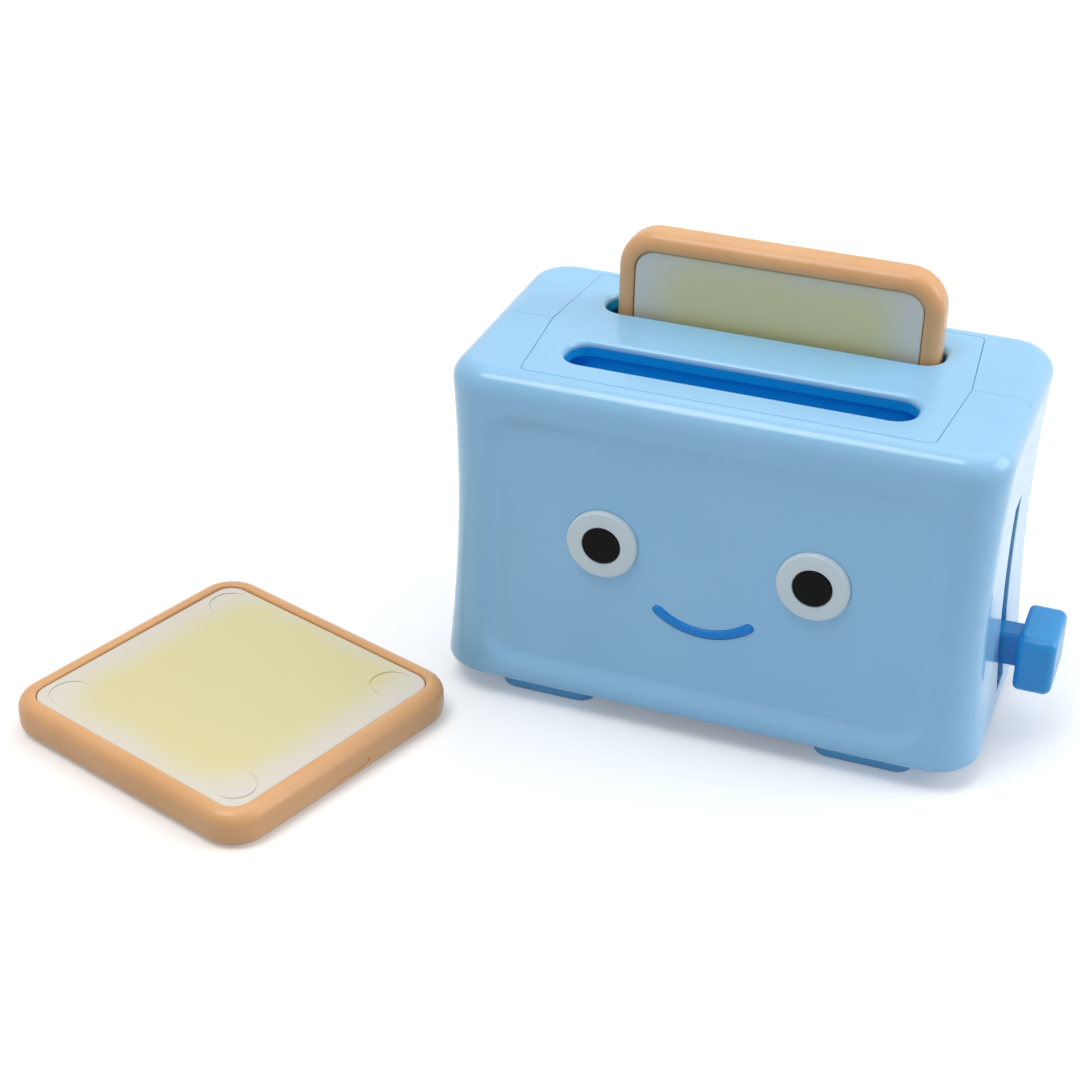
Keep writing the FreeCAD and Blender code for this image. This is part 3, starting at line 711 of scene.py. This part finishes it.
def hexagon(sizes, grow, low, high):
    """Upright prism over the outline of the top insert."""
    end, kink, depth = sizes.end + grow, sizes.kink + grow, sizes.half_depth + grow
    corners = ((kink, 0), (end, depth), (-end, depth), (-kink, 0), (-end, -depth), (end, -depth))
    bm = bmesh.new()
    face = bm.faces.new([bm.verts.new((x, y, low)) for x, y in corners])
    raised = bmesh.ops.extrude_face_region(bm, geom=[face])["geom"]
    top = [part for part in raised if isinstance(part, bmesh.types.BMVert)]
    bmesh.ops.translate(bm, verts=top, vec=(0, 0, high - low))
    bmesh.ops.recalc_face_normals(bm, faces=bm.faces)
    rounded = [edge for edge in edges_along(bm, Z) if abs(edge.verts[0].co.y) > NEAR]
    round_edges(bm, rounded, sizes.corner, steps=6)
    return bm


def slot_block(sizes, way, grow, bottom, top):
    """Upright block over a bread slot, way -1 for the front and 1 for the rear."""
    long, wide = sizes.slot_half_length + grow, sizes.slot_half_width + grow
    middle, corner = way * sizes.slot_y, sizes.slot_corner + grow
    return soft_block((-long, middle - wide, bottom), (long, middle + wide, top), corner, steps=16)


def screw_places(fixings):
    """X and Z of the two case screws: low on the left and high on the right."""
    low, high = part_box("case_screws")
    radius = fixings.head_radius
    return ((low.x + radius, low.z + radius), (high.x - radius, high.z - radius))


def rod_sockets(radius, depth, top):
    """One upright cylinder round the upper end of each guide rod."""
    tools = []
    for word in SIDES:
        axis, end = middle_of("guide_rod_" + word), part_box("guide_rod_" + word)[1]
        tools.append(rod(radius, (axis.x, 0, end.z - depth), (axis.x, 0, top), COARSE))
    return tools


def shell_air(sizes, insert, fixings):
    """Everything that is open inside the shells, as one cutter."""
    low, high = body_span()
    half_width, half_depth = waist_of(sizes)
    floor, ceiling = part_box("base_plate")[0].z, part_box("top_insert")[0].z
    rod_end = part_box("guide_rod_left")[1].z

    def room(inset, bottom, top):
        return soft_block((inset - half_width, inset - half_depth, bottom),
                          (half_width - inset, half_depth - inset, top), sizes.corner - inset)

    ledge = made(hexagon(insert, sizes.ledge_width, ceiling - sizes.ledge_thick, ceiling + OVERLAP), "ledge")
    ledge = carve(ledge, [hexagon(insert, -sizes.ledge_width, ceiling - 2 * sizes.ledge_thick, high.z)])
    sockets = rod_sockets(fixings.socket_radius, fixings.socket_length, ceiling + OVERLAP)
    solids = [unmade(ledge)] + sockets
    for x, z in screw_places(fixings):
        solids.append(rod(fixings.boss_radius, (x, -half_depth, z), (x, half_depth, z), COARSE))
        head = (x, fixings.boss_head_start, z)
        solids.append(rod(fixings.boss_head_radius, head, (x, half_depth, z), COARSE))
    air = carve(made(room(sizes.wall, floor, ceiling), "air"), solids)
    slot_x = half_width - sizes.lever_slot_reach, half_width + sizes.lever_slot_reach
    opens = [room(sizes.wall + sizes.lip_width, low.z - BEYOND, floor + OVERLAP),
             hexagon(insert, 0, ceiling, high.z + BEYOND),
             block((slot_x[0], -sizes.lever_slot_half_width, sizes.lever_slot_low),
                   (slot_x[1], sizes.lever_slot_half_width, sizes.lever_slot_high))]
    opens += rod_sockets(fixings.socket_hole, fixings.socket_length + BEYOND, rod_end)
    return unmade(carve(air, opens, "UNION"))


def front_seats(face, panel, fixings):
    """Cutters of the front half-shell: pilot holes, and seats for the eyes and the smile."""
    screw_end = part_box("case_screws")[0].y - fixings.pilot_spare
    tools = []
    for x, z in screw_places(fixings):
        tools.append(rod(fixings.pilot_radius, (x, screw_end, z), (x, BEYOND, z), COARSE))
    front, back = -panel.depth - BEYOND, face.pocket - panel.depth
    for word in SIDES:
        eye, (low, high) = middle_of("eye_white_" + word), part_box("eye_white_" + word)
        radius = (high.x - low.x) / 2 + face.seat_gap
        tools.append(rod(radius, (eye.x, front, eye.z), (eye.x, back, eye.z), FINEST))
    return tools + [smile_bar(face, face.seat_gap, front, back)]


def rear_seats(fixings):
    """Cutters of the rear half-shell: clearance holes and the seats of the screw heads."""
    outside = body_span()[1].y + BEYOND
    tools = []
    for x, z in screw_places(fixings):
        tools.append(rod(fixings.hole_radius, (x, -BEYOND, z), (x, outside, z), COARSE))
        tools.append(rod(fixings.seat_radius, (x, fixings.screw_seat, z), (x, outside, z)))
    return tools


def make_shell(settings, side):
    """One half-shell: outer form, less the room inside, the seats and the screw holes."""
    sizes, fixings = settings.toaster_body, settings.toaster_fixings
    panel = settings.toaster_panel
    seats = rear_seats(fixings) if side > 0 else front_seats(settings.toaster_face, panel, fixings)
    form = shell_form(sizes, panel, side)
    shell = carve(form, [shell_air(sizes, settings.toaster_insert, fixings)] + seats)
    high, spread = body_span()[1], flare_of(sizes)
    half_width, half_depth = waist_of(sizes)

    def top_rim(co):
        return co.z > high.z - NEAR

    def slot_rim(co):
        on_side = co.x > half_width + spread(co.z) - sizes.rim_edge
        in_width = abs(co.y) < sizes.lever_slot_half_width + NEAR
        return on_side and in_width and sizes.lever_slot_low - NEAR < co.z < sizes.lever_slot_high + NEAR

    def seat_rim(co):
        return co.y > half_depth - sizes.rim_edge

    def soften(bm):
        round_edges(bm, creases(bm, top_rim), sizes.rim_edge, steps=2)
        round_edges(bm, creases(bm, slot_rim), sizes.rim_edge, steps=2)
        round_edges(bm, creases(bm, seat_rim), fixings.seat_edge, steps=3)

    return reworked(shell, soften)


def smile_bar(sizes, grow, front, back, edge=0):
    """Bar with round ends along an arc that opens upwards: made straight, and then bent."""
    low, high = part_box("smile")
    half = sizes.smile_width / 2 + grow
    straight = sizes.smile_radius * sizes.smile_angle
    bm = soft_block((-straight - half, front, -half), (straight + half, back, half), half - NEAR, Y,
                    (edge, 0), steps=6)
    bend_step = 0.4 * MM
    for column in spaced(-straight, straight, bend_step):
        score(bm, bm.faces[:], X, column)
    centre = Vector(((low.x + high.x) / 2, 0, low.z + sizes.smile_width / 2 + sizes.smile_radius))
    for vert in bm.verts:
        angle, radius = vert.co.x / sizes.smile_radius, sizes.smile_radius - vert.co.z
        vert.co.x = centre.x + radius * math.sin(angle)
        vert.co.z = centre.z - radius * math.cos(angle)
    return bm


# ------------------------------------------------------------------- the slices
def peg_places(sizes, half):
    x, y = (side - sizes.rim - sizes.peg_inset for side in half.xy)
    return [(px, py) for px in (-x, x) for py in (-y, y)]


def make_crust(sizes, size):
    """Crust lying flat round its centre: a bead all round, a thin web across the middle, and a trimmed gate
    in the side."""
    half = size / 2
    crust = made(soft_block(-half, half, sizes.corner, ends=(sizes.edge, sizes.edge), steps=10), "crust")
    tools = []
    for way in (-1, 1):
        bottom, top = sorted((way * sizes.web / 2, way * (half.z + BEYOND)))
        tools.append(soft_block((sizes.rim - half.x, sizes.rim - half.y, bottom),
                                (half.x - sizes.rim, half.y - sizes.rim, top), sizes.face_corner, steps=10))
    peg = sizes.peg_half + sizes.peg_play
    for x, y in peg_places(sizes, half):
        tools.append(block((x - peg, y - peg, -BEYOND), (x + peg, y + peg, BEYOND)))
    long, wide, drop = sizes.gate_half_length, sizes.gate_half_width, sizes.gate_drop
    tools.append(soft_block((half.x - sizes.gate_depth, -long, -drop - wide),
                            (half.x + BEYOND, long, wide - drop), wide - NEAR, X, steps=6))
    crust = carve(crust, tools)

    def soften(bm):
        def rim(co):
            return abs(abs(co.z) - half.z) < NEAR
        round_edges(bm, creases(bm, rim), sizes.inner_edge, steps=4)

    return reworked(crust, soften)


def ejector_marks(sizes, half, front):
    """Cutters of the witness rings round four ejector pins. The pins lean a little, so each ring is deep on
    one side and fades out on the other."""
    tools = []
    inset = sizes.rim + sizes.face_gap + sizes.mark_inset
    for x in (inset - half.x, half.x - inset):
        for y in (inset - half.y, half.y - inset):
            way = 1 if x > 0 > y else -1
            foot = Vector((x, y, front - sizes.mark_depth))
            up = Vector((way * math.tan(sizes.mark_lean), 0, 1)) * BEYOND
            ring = made(rod(sizes.mark_radius, foot, foot + up, FINE), "ring")
            core = rod(sizes.mark_radius - sizes.mark_line, foot - up, foot + 2 * up, FINE)
            tools.append(unmade(carve(ring, [core])))
    return tools


def make_slice_face(sizes, size, marked):
    """Upper face of a slice: a plate with four pegs below, and ejector marks if it lay on the pins' side."""
    half = size / 2
    inset = sizes.rim + sizes.face_gap
    front, peg = half.z - sizes.recess, sizes.peg_half
    plate = made(soft_block((inset - half.x, inset - half.y, sizes.web / 2),
                            (half.x - inset, half.y - inset, front), sizes.face_corner - sizes.face_gap,
                            ends=(0, sizes.face_edge), steps=8), "face")
    pegs = [block((x - peg, y - peg, sizes.peg_play), (x + peg, y + peg, sizes.web / 2 + OVERLAP))
            for x, y in peg_places(sizes, half)]
    plate = carve(plate, pegs, "UNION")
    if marked:
        plate = carve(plate, ejector_marks(sizes, half, front))
    layer = plate.data.uv_layers.new(name="Slice")
    for loop in plate.data.loops:
        co = plate.data.vertices[loop.vertex_index].co
        layer.data[loop.index].uv = (co.x / size.x + 0.5, co.y / size.y + 0.5)
    return plate


# ------------------------------------------------------------------- operators
class TOASTER_OT_shells(bpy.types.Operator):
    """Both half-shells of the body"""
    bl_idname = "toaster.shells"
    bl_label = "Half-shells"

    def execute(self, context):
        material = moulded_abs(SHELL_FINISH, context.scene.toaster_colours.shell, roughness=0.19)
        for word, side in (("front", -1), ("rear", 1)):
            shell = make_shell(context.scene, side)
            dress(shell, word + "_half_shell", "toaster_body", "shell_blue", material, word + "_shell")
        return {"FINISHED"}


class TOASTER_OT_top_insert(bpy.types.Operator):
    """Hexagonal plate with the two bread slots"""
    bl_idname = "toaster.top_insert"
    bl_label = "Top insert"

    def execute(self, context):
        sizes = context.scene.toaster_insert
        low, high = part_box("top_insert")
        slots = []
        for way in (-1, 1):
            slots.append(slot_block(sizes, way, 0, low.z - BEYOND, high.z + BEYOND))
            slots.append(slot_block(sizes, way, sizes.rim_wall, low.z - BEYOND, low.z + sizes.rim_height))
        plate = carve(made(hexagon(sizes, -sizes.gap, low.z, high.z), "plate"), slots)
        slots_end = sizes.slot_half_length, sizes.slot_y + sizes.slot_half_width

        def lip(co):
            over_slots = abs(co.x) < slots_end[0] + NEAR and abs(co.y) < slots_end[1] + NEAR
            return co.z > high.z - NEAR and over_slots

        def border(co):
            return co.z > high.z - NEAR and not lip(co)

        def soften(bm):
            round_edges(bm, creases(bm, lip), sizes.slot_lip, steps=6)
            round_edges(bm, creases(bm, border), sizes.edge, steps=2)

        dress(reworked(plate, soften), "slotted_top_insert", "toaster_body", "shell_blue",
              bpy.data.materials[SHELL_FINISH], "top_insert")
        return {"FINISHED"}


class TOASTER_OT_inner_parts(bpy.types.Operator):
    """Rims of the wells, and materials of the wells, base plate, carriage, rods, pin and screws. The wells,
    their rims, the base plate and the carriage share a saturated blue that is painted shade: it stands in
    for the deep shade down the bread slots.
    """
    bl_idname = "toaster.inner_parts"
    bl_label = "Inner parts"

    def execute(self, context):
        colours, sizes = context.scene.toaster_colours, context.scene.toaster_insert
        # painted shade: this saturated blue stands in for the deep shade down the bread slots
        inner = moulded_abs("Moulded ABS blue painted slot shade", colours.inner, roughness=0.38, specular=0.3)
        paint(("bread_well_front", "bread_well_rear", "base_plate", "carriage"), inner)
        low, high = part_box("top_insert")
        # the rims reach up into the insert so that the painted slot shade starts just below the lip
        for word, way in (("front", -1), ("rear", 1)):
            rim = made(slot_block(sizes, way, sizes.rim_wall - sizes.rim_play, low.z,
                                  low.z + sizes.rim_height - sizes.rim_play), "rim")
            carve(rim, [slot_block(sizes, way, 0, low.z - BEYOND, high.z)])
            dress(rim, "painted_shade_well_rim_" + word, "toaster_body", "base_blue", inner)
        paint(("guide_rod_left", "guide_rod_right", "lever_pin"),
              drawn_steel("Ground steel wire", colours.steel, roughness=0.26, line_mm=0.15))
        zinc = drawn_steel("Zinc-plated steel", colours.zinc, roughness=0.32, line_mm=0.3)
        paint(("case_screws",), zinc)
        return {"FINISHED"}


class TOASTER_OT_feet(bpy.types.Operator):
    """Four low feet with rounded edges"""
    bl_idname = "toaster.feet"
    bl_label = "Feet"

    def execute(self, context):
        sizes, colours = context.scene.toaster_feet, context.scene.toaster_colours
        material = moulded_abs("Moulded ABS mid blue", colours.feet, roughness=0.34, specular=0.3)
        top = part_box("base_plate")[0].z
        for word in FEET:
            node = "foot_" + word
            low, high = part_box(node)
            middle, half = middle_of(node), sizes.peg_half
            outward = Vector((0, math.copysign(sizes.apron, middle.y), 0))
            near, far = low + outward, Vector((high.x, high.y, top)) + outward
            pad = soft_block((low.x, min(low.y, near.y), low.z), (high.x, max(high.y, far.y), top),
                             sizes.corner, ends=(sizes.lower_edge, sizes.upper_edge))
            peg = block((middle.x - half, middle.y - half, top - OVERLAP),
                        (middle.x + half, middle.y + half, high.z))
            dress(carve(made(pad, "pad"), [peg], "UNION"), "moulded_" + node, "toaster_body", "base_blue",
                  material, node)
        return {"FINISHED"}


class TOASTER_OT_lever(bpy.types.Operator):
    """Knob and stem of the side lever"""
    bl_idname = "toaster.lever"
    bl_label = "Lever"

    def execute(self, context):
        sizes, colours = context.scene.toaster_lever, context.scene.toaster_colours
        material = moulded_abs("Moulded ABS lever blue", colours.lever, roughness=0.27, specular=0.4)
        low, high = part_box("lever_knob")
        arm_low, arm_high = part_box("lever_arm")
        bm = block(low, high)
        round_edges(bm, edges_along(bm, X), sizes.corner, steps=8)
        round_edges(bm, edges_at(bm, X, high.x), sizes.edge, steps=7)
        round_edges(bm, edges_at(bm, X, low.x), sizes.inner_edge, steps=3)
        wide = sizes.stem_half_width + sizes.play
        socket = block((low.x - BEYOND, -wide, arm_low.z - sizes.play),
                       (arm_high.x + sizes.play, wide, sizes.stem_top + sizes.play))
        dress(carve(made(bm, "knob"), [socket]), "soft_edged_lever_knob", "carriage", "lever_blue", material,
              "lever_knob")
        paint(("lever_arm",), material)
        return {"FINISHED"}


class TOASTER_OT_face(bpy.types.Operator):
    """Raised eye discs, their pupils and the smile bar"""
    bl_idname = "toaster.face"
    bl_label = "Face"

    def execute(self, context):
        sizes, colours = context.scene.toaster_face, context.scene.toaster_colours
        white = moulded_abs("Moulded ABS cool white", colours.eye, roughness=0.3)
        black = moulded_abs("Moulded ABS black", colours.pupil, roughness=0.25, specular=0.08)
        blue = moulded_abs("Moulded ABS smile blue", colours.smile, roughness=0.33, specular=0.3)
        for word in SIDES:
            low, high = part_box("eye_white_" + word)
            pupil_low, pupil_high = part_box("eye_pupil_" + word)
            centre = middle_of("eye_white_" + word)
            radius, pupil_radius = (high.x - low.x) / 2, (pupil_high.x - pupil_low.x) / 2
            seat = pupil_radius + sizes.pupil_play
            profile = [(0, pupil_high.y), (seat, pupil_high.y), (seat, low.y + sizes.seat_edge),
                       (seat + sizes.seat_edge, low.y)]
            profile += round_edge_points(radius, low.y, sizes.eye_edge) + [(radius, high.y), (0, high.y)]
            disc = made(lathe(profile, centre), "disc")
            dress(disc, "raised_eye_disc_" + word, "toaster_body", "eye_white", white, "eye_white_" + word)
            profile = [(0, pupil_low.y)] + round_edge_points(pupil_radius, pupil_low.y, sizes.pupil_edge)
            profile += [(pupil_radius, pupil_high.y), (0, pupil_high.y)]
            dress(made(lathe(profile, centre, FINE), "pupil"), "inlaid_pupil_" + word, "toaster_body",
                  "pupil_black", black, "eye_pupil_" + word)
        low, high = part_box("smile")
        dress(made(smile_bar(sizes, 0, low.y, high.y, sizes.smile_edge), "smile"), "raised_smile_bar",
              "toaster_body", "lever_blue", blue, "smile")
        return {"FINISHED"}


class TOASTER_OT_slices(bpy.types.Operator):
    """Both slices of toast: crusts and faces"""
    bl_idname = "toaster.slices"
    bl_label = "Slices"

    def execute(self, context):
        sizes, colours = context.scene.toaster_slice, context.scene.toaster_colours
        crust_finish = soft_vinyl("Soft vinyl crust tan", colours.crust)
        face_finish = airbrushed_vinyl("Airbrushed vinyl bread", colours.bread, colours.butter)
        low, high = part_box("standing_slice_crust")
        size = Vector((high.x - low.x, high.z - low.z, high.y - low.y))
        standing, loose = middle_of("standing_slice_crust"), middle_of("loose_slice_crust")
        seats = {
            "standing": Matrix.Translation(standing) @ Matrix.Rotation(math.pi / 2, 4, "X"),
            "loose": Matrix.Translation(loose) @ Matrix.Rotation(sizes.loose_turn, 4, "Z"),
        }
        marked_face = {"standing": "back", "loose": "front"}
        for word, seat in seats.items():
            body = word + "_slice"
            crust = make_crust(sizes, size)
            crust.data.transform(seat)
            dress(crust, "moulded_crust_" + word, body, "crust_tan", crust_finish, body + "_crust")
            for face, flip in (("front", 0), ("back", math.pi)):
                plate = make_slice_face(sizes, size, face == marked_face[word])
                plate.data.transform(seat @ Matrix.Rotation(flip, 4, "X"))
                dress(plate, "bread_face_" + word + "_" + face, body, "bread_face", face_finish,
                      body + "_" + face)
        return {"FINISHED"}


def hang_softbox(name, size, watts, spot, aim):
    """Square softbox that faces a point."""
    data = bpy.data.lights.new(name, "AREA")
    data.shape, data.size, data.energy = "SQUARE", size, watts
    lamp = bpy.data.objects.new(name, data)
    lamp.location = spot
    lamp.rotation_mode = "QUATERNION"
    lamp.rotation_quaternion = (aim - lamp.location).to_track_quat("-Z", "Y")
    bpy.context.scene.collection.objects.link(lamp)


class TOASTER_OT_stage(bpy.types.Operator):
    """Floor, light and camera"""
    bl_idname = "toaster.stage"
    bl_label = "Stage"

    def execute(self, context):
        stage = context.scene.toaster_stage
        bm = bmesh.new()
        bmesh.ops.create_grid(bm, x_segments=1, y_segments=1, size=stage.floor_half)
        bmesh.ops.translate(bm, verts=bm.verts, vec=(0, 0, -NEAR))
        floor = made(bm, "floor")
        floor.data.materials.append(studio_paper(stage.paper))
        aim = (cad_box[0] + cad_box[1]) / 2
        hang_softbox("overhead_softbox", stage.softbox_size, stage.softbox, stage.softbox_place, aim)
        hang_softbox("front_key_lamp", stage.key_size, stage.key, stage.key_place, aim)
        hang_softbox("side_softbox", stage.side_box_size, stage.side_box, stage.side_box_place, aim)
        light_world(context.scene, stage.ambient)
        data = bpy.data.cameras.new("camera")
        data.lens, data.sensor_width, data.clip_start = stage.lens, SENSOR_WIDTH, 10 * MM
        camera = bpy.data.objects.new("camera", data)
        camera.location = stage.camera_place
        flat = math.cos(stage.elevation)
        ahead = Vector((-math.sin(stage.azimuth) * flat, math.cos(stage.azimuth) * flat,
                        -math.sin(stage.elevation)))
        camera.rotation_mode = "QUATERNION"
        camera.rotation_quaternion = ahead.to_track_quat("-Z", "Y") @ Quaternion((0, 0, 1), stage.roll)
        context.scene.collection.objects.link(camera)
        context.scene.camera = camera
        context.scene.view_settings.view_transform = "Standard"
        return {"FINISHED"}


OPERATORS = (TOASTER_OT_shells, TOASTER_OT_top_insert, TOASTER_OT_inner_parts, TOASTER_OT_feet,
             TOASTER_OT_lever, TOASTER_OT_face, TOASTER_OT_slices, TOASTER_OT_stage)


class TOASTER_PT_panel(bpy.types.Panel):
    """Lists the pieces of the toy and their settings"""
    bl_idname = "TOASTER_PT_panel"
    bl_label = "Toy Toaster"
    bl_space_type = "VIEW_3D"
    bl_region_type = "UI"
    bl_category = "Toy Toaster"

    def draw(self, context):
        for operator in OPERATORS:
            self.layout.operator(operator.bl_idname)
        for group in GROUPS:
            settings = getattr(context.scene, group)
            box = self.layout.box()
            for name in settings.bl_rna.properties.keys():
                if name not in ("rna_type", "name"):
                    box.prop(settings, name)


def register():
    for group in (*GROUPS.values(), *OPERATORS, TOASTER_PT_panel):
        bpy.utils.register_class(group)
    for name, group in GROUPS.items():
        setattr(bpy.types.Scene, name, PointerProperty(type=group))


def unregister():
    for name in GROUPS:
        delattr(bpy.types.Scene, name)
    for group in reversed((*GROUPS.values(), *OPERATORS, TOASTER_PT_panel)):
        bpy.utils.unregister_class(group)


def main():
    register()
    bpy.ops.toaster.shells()
    bpy.ops.toaster.top_insert()
    bpy.ops.toaster.inner_parts()
    bpy.ops.toaster.feet()
    bpy.ops.toaster.lever()
    bpy.ops.toaster.face()
    bpy.ops.toaster.slices()
    bpy.ops.toaster.stage()


if __name__ == "__main__":
    main()
